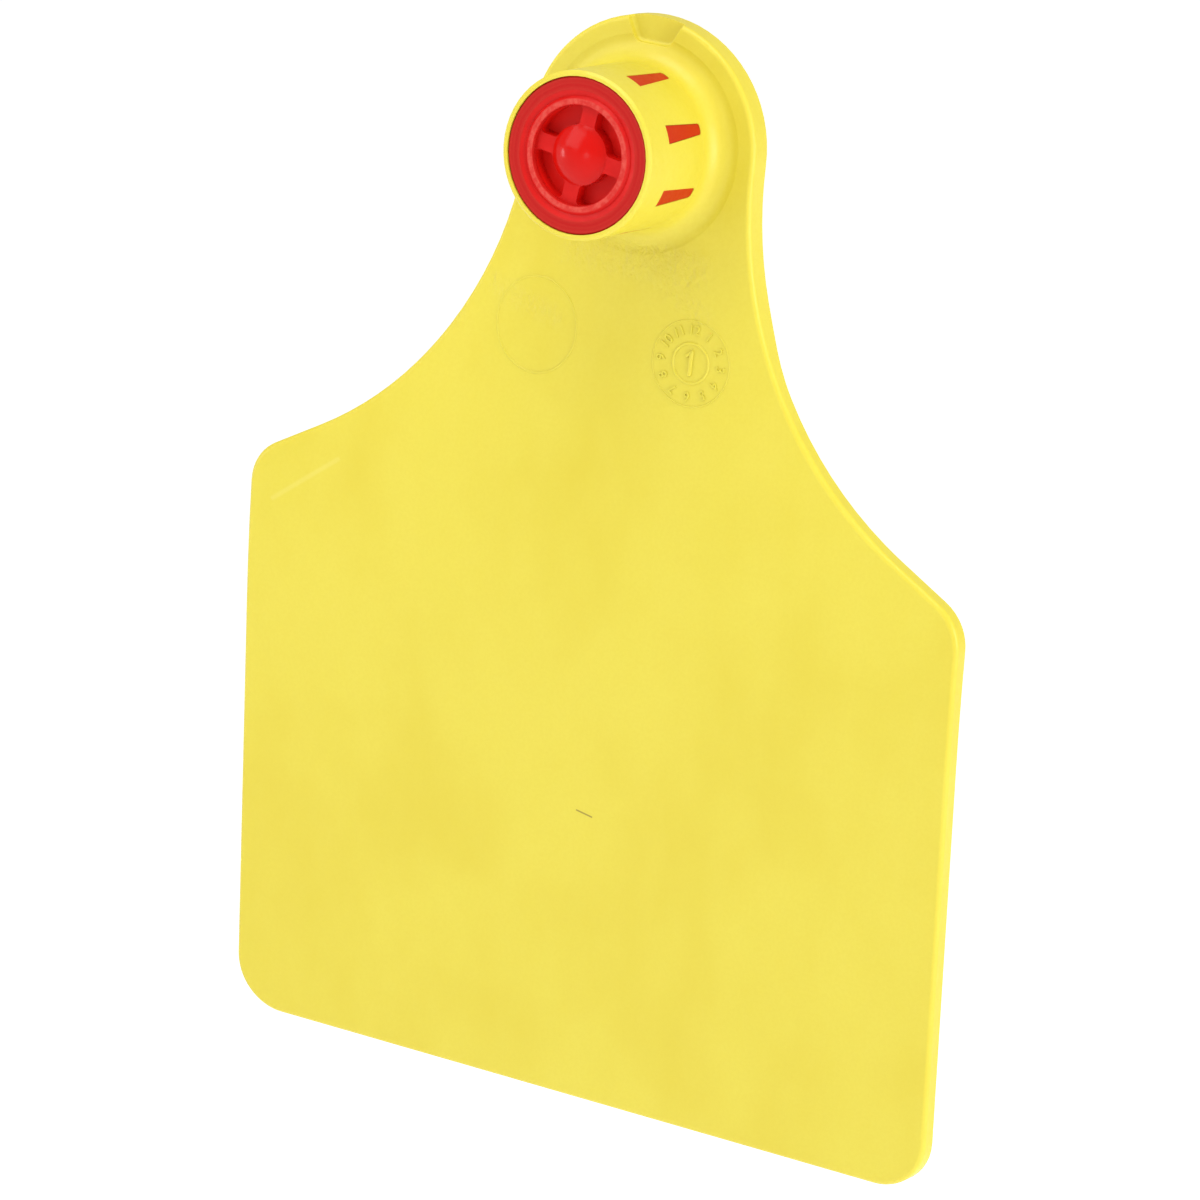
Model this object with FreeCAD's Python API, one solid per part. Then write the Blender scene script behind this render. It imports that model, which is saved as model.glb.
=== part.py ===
"""Female half of a two-piece livestock ear tag, in millimetres.

The tag hangs as it does in use: +Z is up, X runs across the panel, and the
button points along -Y. The origin is on the button's axis, where the stud
leaves the throat of the lock insert. Two mouldings make the tag:

  tag_panel    soft panel, round head and hollow button, moulded in one piece
  lock_insert  hard ring held in the button, which the stud snaps into
"""
import FreeCAD, Part
import math
import os

from FreeCAD import Vector

# Lock insert: the stud's neck fills the throat and its tip sits in the chamber
THROAT_DIAMETER = 6.0
THROAT_LENGTH = 2.4
LEAD_IN_DIAMETER = 8.6
LEAD_IN_LENGTH = 1.4
CHAMBER_DIAMETER = 9.0
INSERT_WALL = 2.47           # round the chamber
FRONT_WALL = 1.8             # between the pockets and the chamber
KEY_FLANGE_REACH = 1.4       # beyond the insert's side, buried in the head
KEY_FLANGE_THICKNESS = 1.0
FACE_CHAMFER = 0.12

# Front face of the insert
WELL_DIAMETER = 9.0
WELL_DEPTH = 0.5             # down to the spokes and the dome's edge
POCKET_COUNT = 4
POCKET_LEDGE = 0.05          # left between the pockets and the well's wall
POCKET_DEPTH = 1.8
POCKET_CORNER = 0.4
SPOKE_WIDTH = 1.5            # between neighbouring pockets
SPOKE_TURN = 82.0            # degrees from +X to the first spoke
DOME_DIAMETER = 5.4
DOME_PROUD = 0.4             # top of the dome beyond the face
RING_WIDTH = 0.55            # raised ring round the well
GROOVE_WIDTH = 0.8           # round that ring
GROOVE_DEPTH = 0.22

# Button
BUTTON_HEIGHT = 11.5         # in front of the head
BUTTON_FLARE = 1.9           # hollow round where the button meets the head
FLARE_SINK = 0.06            # that round dips below the head's face, to a crease
BUTTON_RIM_CHAMFER = 0.22
WALL_OVER_INSERT = 0.5       # yellow wall round the insert
MOULD_GAP = 0.03             # shrinkage gap between the two mouldings
FACE_SETBACK = 0.12          # rim of the button to the insert's face
REAR_LIP = 1.0               # yellow behind the insert
REAR_HOLE_MARGIN = 0.4       # hole in that lip beyond the lead-in

# Windows through the button's wall
WINDOW_COUNT = 8
WINDOW_SETBACK = 3.45        # rim to the wide end
WINDOW_LENGTH = 5.9
WINDOW_WIDE = 1.7
WINDOW_NARROW = 1.0
WINDOW_CORNER = 0.32         # rounds at the narrow end
LUG_SETBACK = 0.04           # outside of the insert's lugs below the button's side
LUG_ROOT = 0.5               # the lugs start this far inside the insert's side

# Panel outline, seen from the front
PANEL_WIDTH = 74.0
PANEL_DROP = 91.0            # button axis to the bottom edge
HEAD_MARGIN = 4.0            # round the button
SHOULDER_SLOPE = 30.0        # degrees below level
SHOULDER_RUN = 7.0           # across, from the end of the neck's curve to the side
SHOULDER_CORNER = 4.6
BOTTOM_CORNER = 5.0

# Panel section, seen from the side
HEAD_THICKNESS = 2.4
PANEL_THICKNESS = 1.7
THINNING_MARGIN = 0.5        # head's circle to where its back starts to step in
BEND_TOP = 20.0              # below the axis: the soft neck starts to bend back
BEND_LENGTH = 30.0
LEAN = 9.0                   # degrees that the panel leans back below the bend
EDGE_ROUND = 0.45

# Gate recess in the top of the head
GATE_TOP_WIDTH = 6.0
GATE_FLOOR_WIDTH = 3.4
GATE_DROP = 2.5              # from the top of the head
GATE_DEPTH = 0.7
GATE_CORNER = 0.9
GATE_FOOT_ROUND = 0.35       # where its sides meet its floor

# Levels along the button's axis
THROAT_REAR_Y = 0.0
SHOULDER_Y = THROAT_REAR_Y - THROAT_LENGTH
INSERT_REAR_Y = THROAT_REAR_Y + LEAD_IN_LENGTH
FLANGE_FRONT_Y = INSERT_REAR_Y - KEY_FLANGE_THICKNESS
BACK_Y = INSERT_REAR_Y + REAR_LIP
FRONT_Y = BACK_Y - HEAD_THICKNESS
RIM_Y = FRONT_Y - BUTTON_HEIGHT
FACE_Y = RIM_Y + FACE_SETBACK
WELL_Y = FACE_Y + WELL_DEPTH
POCKET_Y = FACE_Y + POCKET_DEPTH
CHAMBER_FRONT_Y = POCKET_Y + FRONT_WALL

# Radii, from the chamber outwards
CHAMBER_RADIUS = CHAMBER_DIAMETER / 2
INSERT_RADIUS = CHAMBER_RADIUS + INSERT_WALL
FLANGE_RADIUS = INSERT_RADIUS + KEY_FLANGE_REACH
BUTTON_RADIUS = INSERT_RADIUS + MOULD_GAP + WALL_OVER_INSERT
HEAD_RADIUS = BUTTON_RADIUS + HEAD_MARGIN
REAR_HOLE_RADIUS = LEAD_IN_DIAMETER / 2 + REAR_HOLE_MARGIN
AXIS = Vector(0, 1, 0)
CUT_OVERSHOOT = 5.0
TINY = 0.01


def arc(start, through, end):
    return Part.Arc(start, through, end).toShape()


def line(start, end):
    return Part.LineSegment(start, end).toShape()


def on_circle(centre, radius, degrees):
    """Point of a circle in the XZ plane, measured from +X towards +Z."""
    turn = math.radians(degrees)
    return centre + Vector(radius * math.cos(turn), 0, radius * math.sin(turn))


def arc_on_circle(centre, radius, first, last):
    middle = (first + last) / 2
    return arc(*[on_circle(centre, radius, angle) for angle in (first, middle, last)])


def mirrored(edges):
    """The same edges on the other side of the tag's middle plane."""
    plane_point = Vector(0, 0, 0)
    return [edge.mirror(plane_point, Vector(1, 0, 0)) for edge in edges]


def revolve_section(points):
    """Turn a closed (radius, y) section once round the button's axis."""
    corners = [Vector(radius, y, 0) for radius, y in points]
    face = Part.Face(Part.makePolygon(corners + [corners[0]]))
    return face.revolve(Vector(0, 0, 0), Vector(0, 1, 0), 360)


def side_outline():
    """Edges of the right-hand half outline, from the head's top to the bottom's middle."""
    slope = math.radians(SHOULDER_SLOPE)
    half_width = PANEL_WIDTH / 2
    head_centre = Vector(0, 0, 0)
    neck_run = half_width - SHOULDER_RUN - HEAD_RADIUS
    neck_radius = neck_run / (1 - math.sin(slope))
    neck_centre = Vector(HEAD_RADIUS + neck_radius, 0, 0)

    head = arc_on_circle(head_centre, HEAD_RADIUS, 90, 0)
    neck = arc_on_circle(neck_centre, neck_radius, 180, 270 - SHOULDER_SLOPE)
    neck_end = on_circle(neck_centre, neck_radius, 270 - SHOULDER_SLOPE)

    corner_x = half_width - SHOULDER_CORNER
    sharp_z = neck_end.z - SHOULDER_RUN * math.tan(slope)
    corner_z = sharp_z - SHOULDER_CORNER * math.tan(math.pi / 4 - slope / 2)
    corner_centre = Vector(corner_x, 0, corner_z)
    shoulder_end = on_circle(corner_centre, SHOULDER_CORNER, 90 - SHOULDER_SLOPE)
    side_start = on_circle(corner_centre, SHOULDER_CORNER, 0)
    shoulder = line(neck_end, shoulder_end)
    shoulder_round = arc_on_circle(corner_centre, SHOULDER_CORNER, 90 - SHOULDER_SLOPE, 0)

    bottom_centre = Vector(half_width - BOTTOM_CORNER, 0, BOTTOM_CORNER - PANEL_DROP)
    side_end = on_circle(bottom_centre, BOTTOM_CORNER, 0)
    bottom_start = on_circle(bottom_centre, BOTTOM_CORNER, -90)
    side = line(side_start, side_end)
    bottom_round = arc_on_circle(bottom_centre, BOTTOM_CORNER, 0, -90)
    bottom = line(bottom_start, Vector(0, 0, -PANEL_DROP))
    return [head, neck, shoulder, shoulder_round, side, bottom_round, bottom]


def outline_prism():
    """The tag's outline, drawn out along Y far past both faces."""
    half = side_outline()
    wire = Part.Wire(Part.__sortEdges__(half + mirrored(half)))
    reach = PANEL_DROP
    face = Part.Face(wire)
    face.translate(Vector(0, -reach, 0))
    return face.extrude(Vector(0, 2 * reach, 0))


def easy_step(top, foot):
    """Two equal arcs that leave and reach the upright smoothly, from top to foot."""
    depth = foot.y - top.y
    drop = top.z - foot.z
    radius = (depth ** 2 + drop ** 2) / (4 * abs(depth))
    half_turn = math.asin(drop / 2 / radius) / 2
    bulge_y = math.copysign(radius * (1 - math.cos(half_turn)), depth)
    bulge_z = radius * math.sin(half_turn)
    middle = (top + foot) / 2
    upper = arc(top, top + Vector(0, bulge_y, -bulge_z), middle)
    lower = arc(middle, foot + Vector(0, -bulge_y, bulge_z), foot)
    return [upper, lower]


def side_section():
    """The tag's section in the YZ plane: flat head, bent neck, leaning panel."""
    lean = math.radians(LEAN)
    bend_radius = BEND_LENGTH / math.sin(lean)
    bend_depth = bend_radius * (1 - math.cos(lean))
    bend_end_z = -BEND_TOP - BEND_LENGTH
    straight_drop = PANEL_DROP + CUT_OVERSHOOT - BEND_TOP - BEND_LENGTH
    lean_depth = bend_depth + straight_drop * math.tan(lean)
    top_z = HEAD_RADIUS + CUT_OVERSHOOT
    back_y = FRONT_Y + PANEL_THICKNESS

    def bend(y):
        """Arc from upright to the lean, starting at depth y."""
        half_depth = bend_radius * (1 - math.cos(lean / 2))
        half_drop = bend_radius * math.sin(lean / 2)
        start = Vector(0, y, -BEND_TOP)
        middle = Vector(0, y + half_depth, -BEND_TOP - half_drop)
        end = Vector(0, y + bend_depth, bend_end_z)
        return start, arc(start, middle, end), end

    front_start, front_bend, front_end = bend(FRONT_Y)
    back_start, back_bend, back_end = bend(back_y)
    front_top = Vector(0, FRONT_Y, top_z)
    back_top = Vector(0, BACK_Y, top_z)
    step_top = Vector(0, BACK_Y, -HEAD_RADIUS - THINNING_MARGIN)
    foot_z = -PANEL_DROP - CUT_OVERSHOOT
    front_foot = Vector(0, FRONT_Y + lean_depth, foot_z)
    back_foot = Vector(0, back_y + lean_depth, foot_z)
    edges = [
        line(front_top, front_start),
        front_bend,
        line(front_end, front_foot),
        line(front_foot, back_foot),
        line(back_foot, back_end),
        back_bend,
        *easy_step(step_top, back_start),
        line(step_top, back_top),
        line(back_top, front_top),
    ]
    return Part.Face(Part.Wire(Part.__sortEdges__(edges)))


def panel_sheet():
    """Panel and head with their bent section, rounded along the front edge."""
    section = side_section()
    section.translate(Vector(-PANEL_WIDTH, 0, 0))
    slab = section.extrude(Vector(2 * PANEL_WIDTH, 0, 0))
    sheet = slab.common(outline_prism())
    return sheet.makeFillet(EDGE_ROUND, front_edges(sheet))


def facing(face):
    """How far a face looks to the front (-1) or the back (+1)."""
    first_u, last_u, first_v, last_v = face.ParameterRange
    return face.normalAt((first_u + last_u) / 2, (first_v + last_v) / 2).y


def front_edges(sheet):
    """Edges where the front of the sheet meets its outline wall."""
    front = [face for face in sheet.Faces if facing(face) < -0.5]
    wall = [face for face in sheet.Faces if abs(facing(face)) < TINY]
    wall_edges = [edge for face in wall for edge in face.Edges]
    front_face_edges = [edge for face in front for edge in face.Edges]
    return [edge for edge in front_face_edges if any(edge.isSame(other) for other in wall_edges)]


def disc(radius, start_y, end_y):
    """Cylinder on the button's axis from one level to another further back."""
    return Part.makeCylinder(radius, end_y - start_y, Vector(0, start_y, 0), AXIS)


def button_on(sheet):
    """The sheet with a solid button on its head, flared at the foot."""
    post = disc(BUTTON_RADIUS, RIM_Y, BACK_Y)
    rim = [edge for edge in post.Edges if edge.BoundBox.YMax < RIM_Y + TINY]
    post = post.makeChamfer(BUTTON_RIM_CHAMFER, rim)
    flare_radius = BUTTON_RADIUS + BUTTON_FLARE
    flare_y = FRONT_Y - BUTTON_FLARE + FLARE_SINK
    hollow_round = Part.makeTorus(flare_radius, BUTTON_FLARE, Vector(0, flare_y, 0), AXIS)
    flare = disc(flare_radius, flare_y, FRONT_Y)
    return sheet.fuse(flare).cut(hollow_round).fuse(post)


def insert_envelope():
    """Room for the insert in the button: its outside, filled in and grown by the gap."""
    radius = INSERT_RADIUS + MOULD_GAP
    flange_radius = FLANGE_RADIUS + MOULD_GAP
    flange_y = FLANGE_FRONT_Y - MOULD_GAP
    rear_y = INSERT_REAR_Y + MOULD_GAP
    start_y = RIM_Y - CUT_OVERSHOOT
    return disc(radius, start_y, rear_y).fuse(disc(flange_radius, flange_y, rear_y))


def window_bar(inset, inside, outside):
    """Bar with one window's outline, wide and sharp near the rim, narrow and rounded near
    the head, drawn in by an inset."""
    slope = (WINDOW_WIDE - WINDOW_NARROW) / 2 / WINDOW_LENGTH
    side_inset = inset * math.hypot(1, slope)
    wide_half = WINDOW_WIDE / 2 - slope * inset - side_inset
    narrow_half = WINDOW_NARROW / 2 + slope * inset - side_inset
    wide_y = RIM_Y + WINDOW_SETBACK + inset
    narrow_y = RIM_Y + WINDOW_SETBACK + WINDOW_LENGTH - inset
    corners = [
        Vector(-wide_half, wide_y, inside),
        Vector(wide_half, wide_y, inside),
        Vector(narrow_half, narrow_y, inside),
        Vector(-narrow_half, narrow_y, inside),
    ]
    face = Part.Face(Part.makePolygon(corners + [corners[0]]))
    bar = face.extrude(Vector(0, 0, outside - inside))
    uprights = [edge for edge in bar.Edges if edge.BoundBox.YMin > narrow_y - TINY]
    uprights = [edge for edge in uprights if edge.BoundBox.ZLength > TINY]
    return bar.makeFillet(WINDOW_CORNER - inset, uprights)


def at_windows(shape):
    """Copies of a shape spread evenly round the axis, with none straight above it."""
    copies = []
    step = 360 / WINDOW_COUNT
    for index in range(WINDOW_COUNT):
        copy = shape.copy()
        copy.rotate(Vector(0, 0, 0), AXIS, step / 2 + index * step)
        copies.append(copy)
    return Part.makeCompound(copies)


def windows():
    """Openings through the button's wall."""
    reach = BUTTON_RADIUS + CUT_OVERSHOOT
    return at_windows(window_bar(0, INSERT_RADIUS / 2, reach))


def window_lugs():
    """Lugs of the insert that fill the windows nearly flush with the button's side."""
    reach = BUTTON_RADIUS + CUT_OVERSHOOT
    bar = window_bar(MOULD_GAP, INSERT_RADIUS - LUG_ROOT, reach)
    outside = disc(BUTTON_RADIUS - LUG_SETBACK, RIM_Y, FRONT_Y)
    return at_windows(bar.common(outside))


def gate_recess():
    """Shallow recess where the moulding gate enters the top of the head."""
    floor_z = HEAD_RADIUS - GATE_DROP
    top_z = HEAD_RADIUS + CUT_OVERSHOOT
    flank = (GATE_TOP_WIDTH - GATE_FLOOR_WIDTH) / 2 / GATE_DROP
    floor_half = GATE_FLOOR_WIDTH / 2
    top_half = floor_half + flank * (top_z - floor_z)
    start_y = FRONT_Y - CUT_OVERSHOOT
    corners = [
        Vector(-floor_half, start_y, floor_z),
        Vector(floor_half, start_y, floor_z),
        Vector(top_half, start_y, top_z),
        Vector(-top_half, start_y, top_z),
    ]
    face = Part.Face(Part.makePolygon(corners + [corners[0]]))
    cutter = face.extrude(Vector(0, CUT_OVERSHOOT + GATE_DEPTH, 0))
    floor_edges = [edge for edge in cutter.Edges if edge.BoundBox.ZMax < floor_z + TINY]
    corners_below = [edge for edge in floor_edges if edge.BoundBox.YLength > TINY]
    cutter = cutter.makeFillet(GATE_CORNER, corners_below)
    deepest = [edge for edge in cutter.Edges if edge.BoundBox.YMin > FRONT_Y + GATE_DEPTH - TINY]
    around = [edge for edge in deepest if edge.BoundBox.ZMin < top_z - TINY]
    return cutter.makeFillet(GATE_FOOT_ROUND, around)


def tag_panel():
    """Soft moulding: panel, head and button, hollowed for the insert."""
    body = button_on(panel_sheet().cut(gate_recess()))
    body = body.cut(insert_envelope())
    body = body.cut(windows())
    return body.cut(disc(REAR_HOLE_RADIUS, INSERT_REAR_Y, BACK_Y + CUT_OVERSHOOT))


def insert_body():
    """Insert turned round its axis: face, side, flange, lead-in, throat and chamber."""
    ring_radius = WELL_DIAMETER / 2 + RING_WIDTH
    groove_foot = ring_radius + GROOVE_DEPTH
    groove_radius = ring_radius + GROOVE_WIDTH
    return revolve_section([
        (0, WELL_Y),
        (WELL_DIAMETER / 2, WELL_Y),
        (WELL_DIAMETER / 2, FACE_Y),
        (ring_radius, FACE_Y),
        (groove_foot, FACE_Y + GROOVE_DEPTH),
        (groove_radius, FACE_Y),
        (INSERT_RADIUS - FACE_CHAMFER, FACE_Y),
        (INSERT_RADIUS, FACE_Y + FACE_CHAMFER),
        (INSERT_RADIUS, FLANGE_FRONT_Y),
        (FLANGE_RADIUS, FLANGE_FRONT_Y),
        (FLANGE_RADIUS, INSERT_REAR_Y),
        (LEAD_IN_DIAMETER / 2, INSERT_REAR_Y),
        (THROAT_DIAMETER / 2, THROAT_REAR_Y),
        (THROAT_DIAMETER / 2, SHOULDER_Y),
        (CHAMBER_RADIUS, SHOULDER_Y),
        (CHAMBER_RADIUS, CHAMBER_FRONT_Y),
        (0, CHAMBER_FRONT_Y),
    ])


def centre_dome():
    """Domed hub in the middle of the insert's face."""
    radius = DOME_DIAMETER / 2
    top_y = FACE_Y - DOME_PROUD
    rise = DOME_PROUD + WELL_DEPTH
    sphere_radius = (radius ** 2 + rise ** 2) / (2 * rise)
    ball = Part.makeSphere(sphere_radius, Vector(0, top_y + sphere_radius, 0))
    return disc(radius, top_y, POCKET_Y).common(ball)


def pockets():
    """Kidney-shaped pockets round the dome, with the spokes left between them."""
    outer = WELL_DIAMETER / 2 - POCKET_LEDGE
    start_y = FACE_Y - CUT_OVERSHOOT
    inner = disc(DOME_DIAMETER / 2, start_y, POCKET_Y)
    ring = disc(outer, start_y, POCKET_Y).cut(inner)
    step = 360 / POCKET_COUNT
    for index in range(POCKET_COUNT):
        bar = Part.makeBox(
            2 * outer, POCKET_Y - start_y, SPOKE_WIDTH, Vector(0, start_y, -SPOKE_WIDTH / 2))
        bar.rotate(Vector(0, 0, 0), AXIS, -SPOKE_TURN - index * step)
        ring = ring.cut(bar)
    rounded = []
    for pocket in ring.Solids:
        uprights = [edge for edge in pocket.Edges if edge.BoundBox.YLength > POCKET_DEPTH]
        rounded.append(pocket.makeFillet(POCKET_CORNER, uprights))
    return Part.makeCompound(rounded)


def lock_insert():
    """Hard moulding that the stud snaps into."""
    shape = insert_body().fuse([centre_dome(), window_lugs()])
    shape = shape.cut(pockets())
    return shape.removeSplitter()


def main():
    os.makedirs("parts", exist_ok=True)
    pieces = {"tag_panel": tag_panel(), "lock_insert": lock_insert()}
    for name, shape in pieces.items():
        shape.Solids[0].exportStep("parts/" + name + ".step")


main()
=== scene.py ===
"""Looks of the livestock ear tag: materials, moulded relief, studio light and camera."""

import math

import bpy
from mathutils import Matrix, Vector


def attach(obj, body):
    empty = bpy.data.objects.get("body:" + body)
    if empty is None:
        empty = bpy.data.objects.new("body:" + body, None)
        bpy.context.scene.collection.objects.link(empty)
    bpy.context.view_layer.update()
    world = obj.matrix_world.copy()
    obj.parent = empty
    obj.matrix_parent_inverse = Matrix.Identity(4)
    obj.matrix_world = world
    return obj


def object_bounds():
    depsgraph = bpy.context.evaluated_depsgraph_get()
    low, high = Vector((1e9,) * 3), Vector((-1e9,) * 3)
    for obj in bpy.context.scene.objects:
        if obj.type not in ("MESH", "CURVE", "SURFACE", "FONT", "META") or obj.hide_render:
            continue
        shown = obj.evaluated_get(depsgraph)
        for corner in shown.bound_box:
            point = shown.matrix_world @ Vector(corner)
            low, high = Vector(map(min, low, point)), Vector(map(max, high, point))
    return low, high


MM = 0.001

# The camera: where it looks from, in degrees, and what it looks at, in metres.
CAMERA_AZIMUTH = 28.15
CAMERA_ELEVATION = 13.37
CAMERA_ROLL = 7.01
CAMERA_DISTANCE = 0.6307
CAMERA_AIM = (0.00158, 0.0, -0.04159)
CAMERA_LENS = 210.0
CAMERA_SENSOR = 36.0

# The stage: a glowing pale floor well below the tag, and even light from all round.
FLOOR_DROP = 0.12
FLOOR_REACH = 6.0
FLOOR_GLOW = 0.5
SKY_STRENGTH = 0.55
HEAD_AIM = (0.0, -0.01, -0.01)
PANEL_AIM = (0.0, -0.01, -0.03)

# Zones of the insert, measured from the button's axis, which is the frame's Y axis.
DOME_RADIUS = 2.7 * MM
WELL_RADIUS = 4.5 * MM
RING_OUTER = 5.05 * MM
GROOVE_OUTER = 5.85 * MM
SIDE_RADIUS = 7.02 * MM

# Levels along that axis: below the face's ring and band, and below the spokes.
UNDER_FACE = -11.0 * MM
UNDER_SPOKES = -10.7 * MM

# The mould's date dial on the front of the neck.
DIAL_X = 7.74 * MM
DIAL_Z = -18.43 * MM
DIAL_RADIUS = 3.9 * MM
DIAL_CORE = 1.8 * MM
NUMERAL_REACH = 3.0 * MM
NUMERAL_SIZE = 1.25 * MM
NUMERAL_BEVEL = 0.015 * MM

# How far the moulded marks stand up from the neck, and how far their foot is sunk in it.
RELIEF = 0.11 * MM
SINK = 0.04 * MM

# The plain ring beside the dial.
RING_X = -8.27 * MM
RING_Z = -18.1 * MM
RING_HALF_WIDTH = 4.1 * MM
RING_HALF_HEIGHT = 4.4 * MM

# Marks in the yellow plastic, as (x, z) places on the front.
FLOW_LINE = ((-34.4 * MM, -40.0 * MM), (-27.6 * MM, -34.8 * MM))
SCRATCH = ((-0.5 * MM, -62.6 * MM), (1.1 * MM, -62.9 * MM))
UNEVEN_STREAKS = (
    ((4.0 * MM, -11.8 * MM), (8.3 * MM, -14.0 * MM)),
    ((-13.0 * MM, -15.3 * MM), (-6.5 * MM, -17.0 * MM)),
    ((-17.6 * MM, -16.0 * MM), (-16.4 * MM, -19.0 * MM)),
)


# ---------------------------------------------------------------- node helpers


class Nodes:
    """Short names for the shader nodes used below."""

    def __init__(self, material):
        material.use_nodes = True
        self.tree = material.node_tree
        self.tree.nodes.clear()

    def add(self, kind, **values):
        node = self.tree.nodes.new(kind)
        for key, value in values.items():
            setattr(node, key, value)
        return node

    def link(self, source, target):
        self.tree.links.new(source, target)

    def put(self, value, socket):
        if isinstance(value, (int, float, tuple)):
            socket.default_value = value
        else:
            self.link(value, socket)

    def math(self, operation, a, b=0.0):
        node = self.add("ShaderNodeMath", operation=operation)
        self.put(a, node.inputs[0])
        self.put(b, node.inputs[1])
        return node.outputs[0]

    def place(self):
        return self.add("ShaderNodeTexCoord").outputs["Object"]

    def split(self, vector):
        node = self.add("ShaderNodeSeparateXYZ")
        self.link(vector, node.inputs[0])
        return node.outputs[0], node.outputs[1], node.outputs[2]

    def noise(self, size, detail=3.0, rough=0.5, stretch=(1.0, 1.0, 1.0), seed=0.0):
        mapping = self.add("ShaderNodeMapping")
        self.link(self.place(), mapping.inputs["Vector"])
        mapping.inputs["Scale"].default_value = stretch
        mapping.inputs["Location"].default_value = (seed, seed, seed)
        node = self.add("ShaderNodeTexNoise")
        self.link(mapping.outputs[0], node.inputs["Vector"])
        node.inputs["Scale"].default_value = 1.0 / size
        node.inputs["Detail"].default_value = detail
        node.inputs["Roughness"].default_value = rough
        return node.outputs["Fac"]

    def span(self, value, low, high, to_low=0.0, to_high=1.0):
        """A smooth step from to_low to to_high as the value goes from low to high."""
        node = self.add("ShaderNodeMapRange", interpolation_type="SMOOTHSTEP")
        self.put(value, node.inputs["Value"])
        node.inputs["From Min"].default_value = low
        node.inputs["From Max"].default_value = high
        node.inputs["To Min"].default_value = to_low
        node.inputs["To Max"].default_value = to_high
        return node.outputs[0]

    def mix(self, factor, a, b):
        node = self.add("ShaderNodeMix", data_type="RGBA")
        self.put(factor, node.inputs[0])
        self.put(a, node.inputs[6])
        self.put(b, node.inputs[7])
        return node.outputs[2]

    def hypotenuse(self, a, b):
        squares = self.math("ADD", self.math("MULTIPLY", a, a), self.math("MULTIPLY", b, b))
        return self.math("SQRT", squares)

    def radius(self):
        """Distance from the button's axis."""
        x, y, z = self.split(self.place())
        return self.hypotenuse(x, z)

    def stroke(self, start, end, half_width, soft):
        """1 along a straight mark on the front, between two (x, z) places, and 0 beside it."""
        x, y, z = self.split(self.place())
        run = Vector((end[0] - start[0], end[1] - start[1]))
        length = run.length
        ux, uz = run.x / length, run.y / length
        dx = self.math("SUBTRACT", x, start[0])
        dz = self.math("SUBTRACT", z, start[1])
        along = self.math("ADD", self.math("MULTIPLY", dx, ux), self.math("MULTIPLY", dz, uz))
        across = self.math("SUBTRACT", self.math("MULTIPLY", dz, ux), self.math("MULTIPLY", dx, uz))
        nearest = self.math("MINIMUM", self.math("MAXIMUM", along, 0.0), length)
        past = self.math("SUBTRACT", along, nearest)
        away = self.hypotenuse(past, across)
        near = self.span(away, half_width, half_width + soft, 1.0, 0.0)
        front = self.span(self.normal_y(), -0.6, -0.3, 1.0, 0.0)
        return self.math("MULTIPLY", near, front)

    def normal_y(self):
        x, y, z = self.split(self.add("ShaderNodeTexCoord").outputs["Normal"])
        return y

    def bump(self, height, distance, strength=1.0, under=None):
        node = self.add("ShaderNodeBump")
        node.inputs["Strength"].default_value = strength
        node.inputs["Distance"].default_value = distance
        self.put(height, node.inputs["Height"])
        if under is not None:
            self.link(under, node.inputs["Normal"])
        return node.outputs[0]

    def surface(self, colour, roughness, normal, **constants):
        shader = self.add("ShaderNodeBsdfPrincipled")
        self.put(colour, shader.inputs["Base Color"])
        self.put(roughness, shader.inputs["Roughness"])
        if normal is not None:
            self.link(normal, shader.inputs["Normal"])
        for key, value in constants.items():
            shader.inputs[key.replace("_", " ")].default_value = value
        out = self.add("ShaderNodeOutputMaterial")
        self.link(shader.outputs[0], out.inputs[0])


# ---------------------------------------------------------------- materials


def uneven_zones(n):
    """1 in four places on the front of the neck where the plastic froze unevenly."""
    x, y, z = n.split(n.place())
    low = n.span(z, -13.0 * MM, -11.4 * MM)
    high = n.span(z, -9.0 * MM, -8.0 * MM, 1.0, 0.0)
    left = n.span(x, -8.0 * MM, -5.0 * MM)
    right = n.span(x, 7.0 * MM, 10.0 * MM, 1.0, 0.0)
    zones = n.math("MULTIPLY", n.math("MULTIPLY", low, high), n.math("MULTIPLY", left, right))
    for start, end in UNEVEN_STREAKS:
        zones = n.math("MAXIMUM", zones, n.stroke(start, end, 0.3 * MM, 1.5 * MM))
    front = n.span(y, 1.0 * MM, 1.6 * MM, 1.0, 0.0)
    return n.math("MULTIPLY", zones, front)


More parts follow.
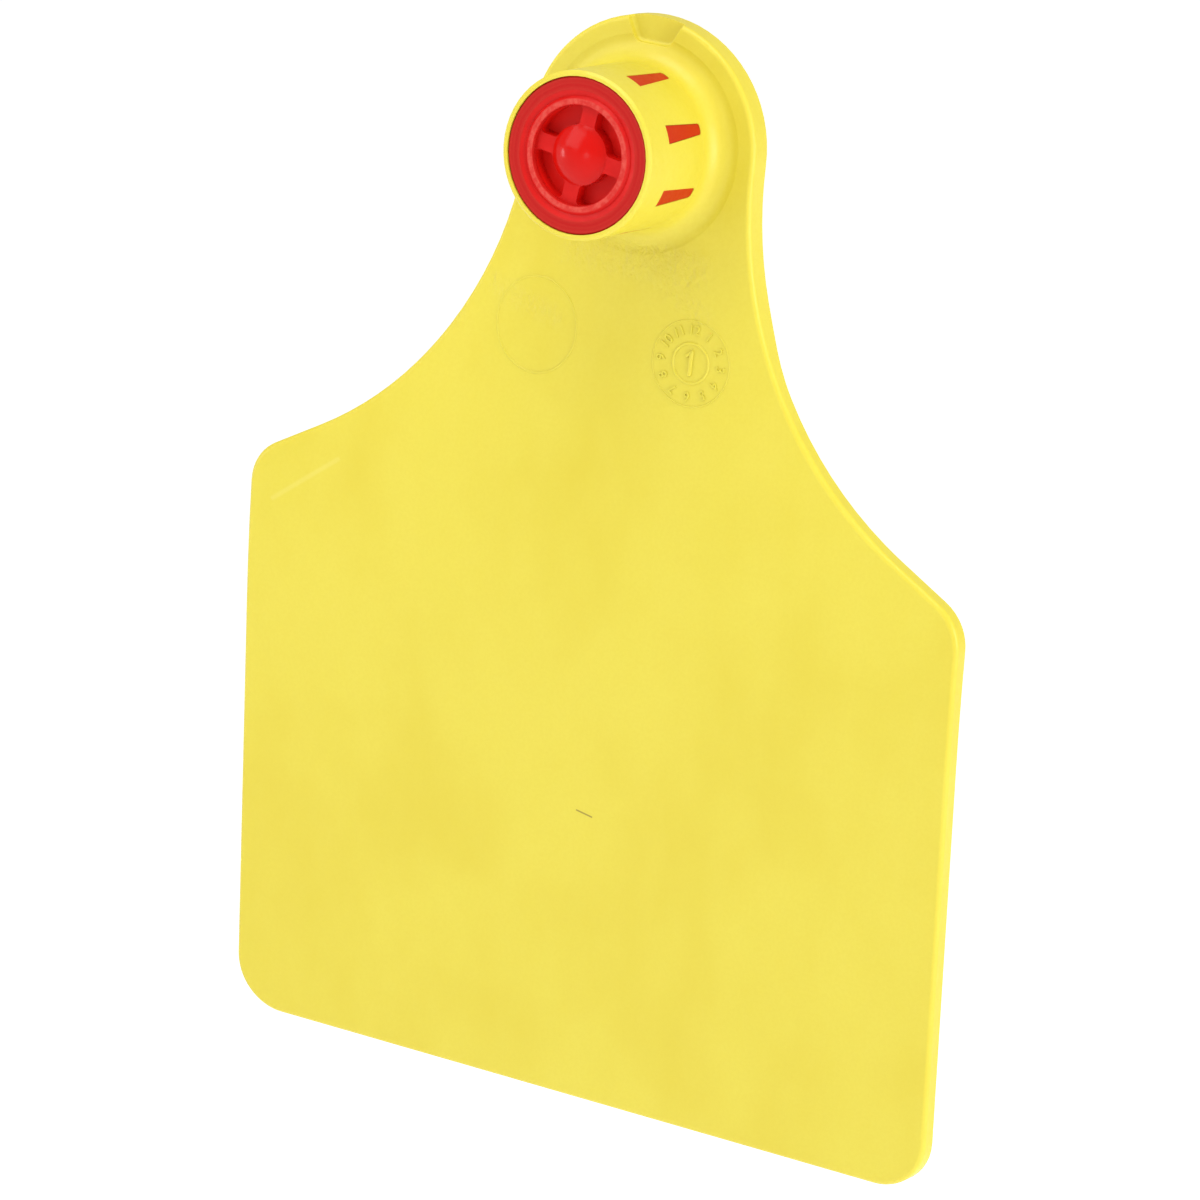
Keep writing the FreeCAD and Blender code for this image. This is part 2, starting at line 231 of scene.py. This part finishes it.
def yellow_material():
    material = bpy.data.materials.new("soft_yellow")
    n = Nodes(material)
    cloud = n.noise(16 * MM, detail=3.0, rough=0.55, stretch=(1.0, 1.0, 0.7), seed=3.1)
    flow = n.noise(5 * MM, detail=4.0, rough=0.6, stretch=(1.0, 1.0, 0.35), seed=7.7)
    grain = n.noise(0.32 * MM, detail=2.0, rough=0.6, seed=1.3)
    pores = n.noise(0.9 * MM, detail=3.0, rough=0.65, seed=5.9)
    base = n.mix(n.span(cloud, 0.36, 0.64), (0.545, 0.450, 0.030, 1.0), (0.570, 0.485, 0.042, 1.0))
    base = n.mix(n.span(flow, 0.3, 0.7, 0.0, 0.35), base, (0.590, 0.505, 0.055, 1.0))
    base = n.mix(n.span(grain, 0.3, 0.7, 0.0, 0.22), base, (0.520, 0.420, 0.025, 1.0))
    line = n.stroke(*FLOW_LINE, 0.08 * MM, 0.25 * MM)
    base = n.mix(n.math("MULTIPLY", line, 0.28), base, (0.620, 0.555, 0.130, 1.0))
    scratch = n.stroke(*SCRATCH, 0.03 * MM, 0.09 * MM)
    base = n.mix(n.math("MULTIPLY", scratch, 0.75), base, (0.16, 0.10, 0.02, 1.0))
    rough = n.math("ADD", n.span(flow, 0.3, 0.7, 0.36, 0.47), n.span(pores, 0.35, 0.65, -0.03, 0.05))
    wave = n.bump(cloud, 0.10 * MM, 0.6)
    fine = n.bump(pores, 0.010 * MM, 0.6, wave)
    crease = n.noise(1.3 * MM, detail=4.0, rough=0.7, stretch=(1.0, 1.0, 0.6), seed=12.6)
    waves = n.math("SUBTRACT", crease, 0.5)
    uneven = n.bump(n.math("MULTIPLY", waves, uneven_zones(n)), 0.5 * MM, 0.8, fine)
    skin = n.bump(grain, 0.006 * MM, 0.7, uneven)
    n.surface(
        base, rough, skin, Specular_IOR_Level=0.35, Subsurface_Weight=0.12, Subsurface_Scale=0.001,
        Subsurface_Radius=(1.0, 0.7, 0.15),
    )
    return material


def red_material():
    material = bpy.data.materials.new("hard_red")
    n = Nodes(material)
    r = n.radius()
    x, y, z = n.split(n.place())
    dome = n.span(r, DOME_RADIUS - 0.05 * MM, DOME_RADIUS + 0.05 * MM, 1.0, 0.0)
    ring = n.math(
        "MULTIPLY",
        n.span(r, WELL_RADIUS - 0.05 * MM, WELL_RADIUS + 0.1 * MM),
        n.span(r, RING_OUTER - 0.15 * MM, RING_OUTER + 0.05 * MM, 1.0, 0.0),
    )
    band = n.span(r, GROOVE_OUTER - 0.2 * MM, GROOVE_OUTER + 0.05 * MM)
    top = n.span(y, UNDER_FACE - 0.1 * MM, UNDER_FACE + 0.1 * MM, 1.0, 0.0)
    ring = n.math("MULTIPLY", ring, top)
    band = n.math("MULTIPLY", band, top)
    # Painted light: the insert's outer side, seen through the windows, is tinted orange to stand in for
    # bounce light from the yellow walls.
    side_bounce_light = n.span(r, SIDE_RADIUS - 0.03 * MM, SIDE_RADIUS + 0.03 * MM)
    # Painted light: the pocket floors below the spokes get a brighter red than the rest of the insert,
    # standing in for light on them.
    inside = n.span(r, WELL_RADIUS, WELL_RADIUS + 0.1 * MM, 1.0, 0.0)
    below = n.span(y, UNDER_SPOKES - 0.1 * MM, UNDER_SPOKES + 0.1 * MM)
    painted_pocket_light = n.math("MULTIPLY", below, inside)
    mottle = n.noise(0.55 * MM, detail=4.0, rough=0.7, seed=2.2)
    patch = n.noise(2.2 * MM, detail=3.0, rough=0.6, seed=9.4)
    grain = n.noise(0.16 * MM, detail=2.0, rough=0.6, seed=4.8)
    # Tool marks: rings round the axis, made a little uneven by the patches.
    turn = n.add("ShaderNodeTexNoise", noise_dimensions="1D")
    n.link(n.math("ADD", r, n.math("MULTIPLY", patch, 0.25 * MM)), turn.inputs["W"])
    turn.inputs["Scale"].default_value = 1.0 / (0.28 * MM)
    turn.inputs["Detail"].default_value = 3.0
    marks = turn.outputs["Fac"]
    base = n.mix(n.span(patch, 0.35, 0.65), (0.46, 0.004, 0.003, 1.0), (0.50, 0.006, 0.004, 1.0))
    # Painted light on the pocket floors.
    base = n.mix(painted_pocket_light, base, (0.64, 0.007, 0.004, 1.0))
    matt = n.mix(n.span(marks, 0.35, 0.68), (0.360, 0.004, 0.003, 1.0), (0.390, 0.013, 0.008, 1.0))
    base = n.mix(band, base, matt)
    # The ring's pinkish pale colour is partly its scuffed matt finish and partly a painted sheen.
    pale = n.mix(n.span(mottle, 0.35, 0.65), (0.460, 0.020, 0.015, 1.0), (0.520, 0.058, 0.042, 1.0))
    base = n.mix(ring, base, pale)
    base = n.mix(dome, base, (0.470, 0.004, 0.002, 1.0))
    # Painted bounce light: orange-red on the insert's side.
    base = n.mix(side_bounce_light, base, (0.400, 0.018, 0.002, 1.0))
    rough = n.span(mottle, 0.3, 0.7, 0.36, 0.46)
    rough = n.math("ADD", rough, n.math("MULTIPLY", n.math("MAXIMUM", band, ring), 0.16))
    rough = n.math("SUBTRACT", rough, n.math("MULTIPLY", dome, 0.22))
    outer = n.math("MAXIMUM", band, n.math("MULTIPLY", ring, 0.5))
    wide = n.bump(n.math("MULTIPLY", marks, outer), 0.020 * MM, 0.7)
    lumps = n.bump(n.math("MULTIPLY", mottle, n.math("MAXIMUM", ring, 0.15)), 0.06 * MM, 0.7, wide)
    skin = n.bump(grain, 0.004 * MM, 0.5, lumps)
    n.surface(
        base, rough, skin, Specular_IOR_Level=0.14, Subsurface_Weight=0.06, Subsurface_Scale=0.0006,
        Subsurface_Radius=(1.0, 0.15, 0.1),
    )
    return material


def floor_material():
    material = bpy.data.materials.new("pale_floor")
    n = Nodes(material)
    cloud = n.noise(0.4, detail=2.0)
    tone = n.mix(n.span(cloud, 0.3, 0.7), (0.93, 0.93, 0.93, 1.0), (0.95, 0.95, 0.95, 1.0))
    n.surface(
        tone, 0.85, None, Specular_IOR_Level=0.1,
        Emission_Color=(1.0, 1.0, 1.0, 1.0), Emission_Strength=FLOOR_GLOW,
    )
    return material


# ---------------------------------------------------------------- relief


def ridge(centre_x, centre_z, radius_x, radius_z, width, height, steps=96):
    """A low rounded ring standing on the front of the neck, as vertices and faces."""
    across = 7
    verts, faces = [], []
    for i in range(steps):
        a = 2 * math.pi * i / steps
        for j in range(across):
            t = j / (across - 1)
            off = (t - 0.5) * width
            lift = height * math.sin(math.pi * t) ** 0.8 if 0 < j < across - 1 else -SINK
            x = centre_x + (radius_x + off) * math.cos(a)
            z = centre_z + (radius_z + off) * math.sin(a)
            verts.append((x, -lift, z))
    for i in range(steps):
        for j in range(across - 1):
            a, b = i * across + j, i * across + j + 1
            c, d = ((i + 1) % steps) * across + j + 1, ((i + 1) % steps) * across + j
            faces.append((a, d, c, b))
    return verts, faces


def bar(start, end, width, height, ends=10):
    """A low rounded bar between two (x, z) places on the front of the neck."""
    run = Vector((end[0] - start[0], end[1] - start[1]))
    heading = math.atan2(run.y, run.x)
    loops = []
    for scale, lift in ((1.0, -SINK), (0.92, 0.5 * height), (0.7, 0.92 * height), (0.3, height)):
        loop = []
        for centre, base in ((end, heading - math.pi / 2), (start, heading + math.pi / 2)):
            for k in range(ends + 1):
                a = base + math.pi * k / ends
                reach = scale * width / 2
                loop.append((centre[0] + reach * math.cos(a), -lift, centre[1] + reach * math.sin(a)))
        loops.append(loop)
    count = len(loops[0])
    verts = [v for loop in loops for v in loop]
    faces = []
    for row in range(len(loops) - 1):
        for k in range(count):
            a, b = row * count + k, row * count + (k + 1) % count
            faces.append((a, b, b + count, a + count))
    faces.append(tuple(range((len(loops) - 1) * count, len(loops) * count)))
    return verts, faces


def numeral(text, centre, size, turn, height):
    """A plain raised number, its foot towards the dial's centre."""
    curve = bpy.data.curves.new("numeral", "FONT")
    curve.body = text
    curve.size = size
    curve.align_x = "CENTER"
    curve.align_y = "CENTER"
    curve.extrude = height / 2
    curve.bevel_depth = NUMERAL_BEVEL
    curve.bevel_resolution = 1
    curve.resolution_u = 3
    thing = bpy.data.objects.new("numeral", curve)
    bpy.context.scene.collection.objects.link(thing)
    bpy.context.view_layer.update()
    mesh = bpy.data.meshes.new_from_object(thing)
    place = Matrix.Translation((centre[0], -height / 2 + 0.03 * MM, centre[1]))
    mesh.transform(place @ Matrix.Rotation(-turn, 4, "Y") @ Matrix.Rotation(math.pi / 2, 4, "X"))
    verts = [tuple(v.co) for v in mesh.vertices]
    faces = [tuple(p.vertices) for p in mesh.polygons]
    bpy.data.objects.remove(thing)
    bpy.data.curves.remove(curve)
    bpy.data.meshes.remove(mesh)
    return verts, faces


def joined(parts):
    verts, faces = [], []
    for part_verts, part_faces in parts:
        start = len(verts)
        verts.extend(part_verts)
        faces.extend(tuple(start + i for i in face) for face in part_faces)
    return verts, faces


def make_piece(name, parts, material):
    verts, faces = joined(parts)
    mesh = bpy.data.meshes.new(name)
    mesh.from_pydata(verts, [], faces)
    mesh.validate()
    mesh.update()
    mesh.materials.append(material)
    for polygon in mesh.polygons:
        polygon.use_smooth = True
    piece = bpy.data.objects.new(name, mesh)
    bpy.context.scene.collection.objects.link(piece)
    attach(piece, "root")


def date_dial(material):
    """A ring of month numbers round a core with a mark like a 1."""
    parts = [ridge(DIAL_X, DIAL_Z, DIAL_CORE, DIAL_CORE, 0.30 * MM, RELIEF)]
    parts.append(bar((DIAL_X, DIAL_Z - 1.0 * MM), (DIAL_X, DIAL_Z + 1.05 * MM), 0.42 * MM, RELIEF * 1.5))
    parts.append(
        bar((DIAL_X - 0.45 * MM, DIAL_Z + 0.62 * MM), (DIAL_X, DIAL_Z + 1.1 * MM), 0.3 * MM, RELIEF * 1.5)
    )
    for month in range(1, 13):
        a = 2 * math.pi * month / 12
        centre = (DIAL_X + NUMERAL_REACH * math.sin(a), DIAL_Z + NUMERAL_REACH * math.cos(a))
        parts.append(numeral(str(month), centre, NUMERAL_SIZE, -a, RELIEF))
    parts.append(ridge(DIAL_X, DIAL_Z, DIAL_RADIUS, DIAL_RADIUS, 0.16 * MM, RELIEF * 0.5))
    make_piece("date_dial", parts, material)


def plain_ring(material):
    parts = [ridge(RING_X, RING_Z, RING_HALF_WIDTH, RING_HALF_HEIGHT, 0.22 * MM, RELIEF * 0.45)]
    make_piece("plain_ring", parts, material)


# ---------------------------------------------------------------- stage, light, camera


def make_floor(low):
    reach = FLOOR_REACH
    verts = [(-reach, -reach, low), (reach, -reach, low), (reach, reach, low), (-reach, reach, low)]
    mesh = bpy.data.meshes.new("floor")
    mesh.from_pydata(verts, [], [(0, 1, 2, 3)])
    mesh.materials.append(floor_material())
    floor = bpy.data.objects.new("floor", mesh)
    bpy.context.scene.collection.objects.link(floor)


def area_light(name, heading, distance, size, power, aim=PANEL_AIM):
    """A soft box that stands along heading from the aim, and faces it."""
    data = bpy.data.lights.new(name, "AREA")
    data.shape = "RECTANGLE"
    data.size = size[0]
    data.size_y = size[1]
    data.energy = power
    lamp = bpy.data.objects.new(name, data)
    away = Vector(heading).normalized()
    lamp.location = Vector(aim) + away * distance
    lamp.rotation_mode = "QUATERNION"
    lamp.rotation_quaternion = (-away).to_track_quat("-Z", "Y")
    bpy.context.scene.collection.objects.link(lamp)


def make_lights():
    area_light("front", (0.0, -1.0, -0.02), 0.9, (0.07, 0.13), 0.4)
    area_light("left", (-0.86, -0.45, -0.12), 0.9, (0.07, 0.15), 0.8)
    area_light("above", (0.0, -0.3, 0.95), 0.42, (0.4, 0.3), 1.6, HEAD_AIM)
    area_light("right", (0.97, -0.15, 0.1), 0.5, (0.3, 0.3), 2.0, HEAD_AIM)
    area_light("left_above", (-0.6, -0.7, 0.45), 0.3, (0.2, 0.2), 0.36, HEAD_AIM)
    world = bpy.data.worlds.new("studio")
    world.use_nodes = True
    sky = world.node_tree.nodes["Background"]
    sky.inputs[0].default_value = (1.0, 1.0, 1.0, 1.0)
    sky.inputs[1].default_value = SKY_STRENGTH
    bpy.context.scene.world = world


def make_camera():
    a, e = math.radians(CAMERA_AZIMUTH), math.radians(CAMERA_ELEVATION)
    back = Vector((math.sin(a) * math.cos(e), -math.cos(a) * math.cos(e), math.sin(e)))
    data = bpy.data.cameras.new("camera")
    data.sensor_width = CAMERA_SENSOR
    data.lens = CAMERA_LENS
    data.clip_start = 0.01
    data.clip_end = 100.0
    camera = bpy.data.objects.new("camera", data)
    level = (-back).to_track_quat("-Z", "Y").to_matrix().to_4x4()
    roll = Matrix.Rotation(math.radians(CAMERA_ROLL), 4, "Z")
    camera.matrix_world = Matrix.Translation(Vector(CAMERA_AIM) + back * CAMERA_DISTANCE) @ level @ roll
    bpy.context.scene.collection.objects.link(camera)
    bpy.context.scene.camera = camera


def dress(node, material):
    node.data.materials.clear()
    node.data.materials.append(material)


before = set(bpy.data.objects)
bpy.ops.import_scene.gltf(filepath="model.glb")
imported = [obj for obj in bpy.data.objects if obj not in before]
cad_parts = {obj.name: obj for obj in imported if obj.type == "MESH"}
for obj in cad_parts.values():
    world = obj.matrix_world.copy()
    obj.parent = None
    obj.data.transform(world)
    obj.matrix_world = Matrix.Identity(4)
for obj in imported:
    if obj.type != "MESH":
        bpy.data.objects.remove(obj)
cad_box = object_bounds()
yellow = yellow_material()
red = red_material()
dress(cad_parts["tag_panel"], yellow)
dress(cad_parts["lock_insert"], red)
date_dial(yellow)
plain_ring(yellow)
make_floor(cad_box[0].z - FLOOR_DROP)
make_lights()
make_camera()
bpy.context.scene.view_settings.view_transform = "Standard"
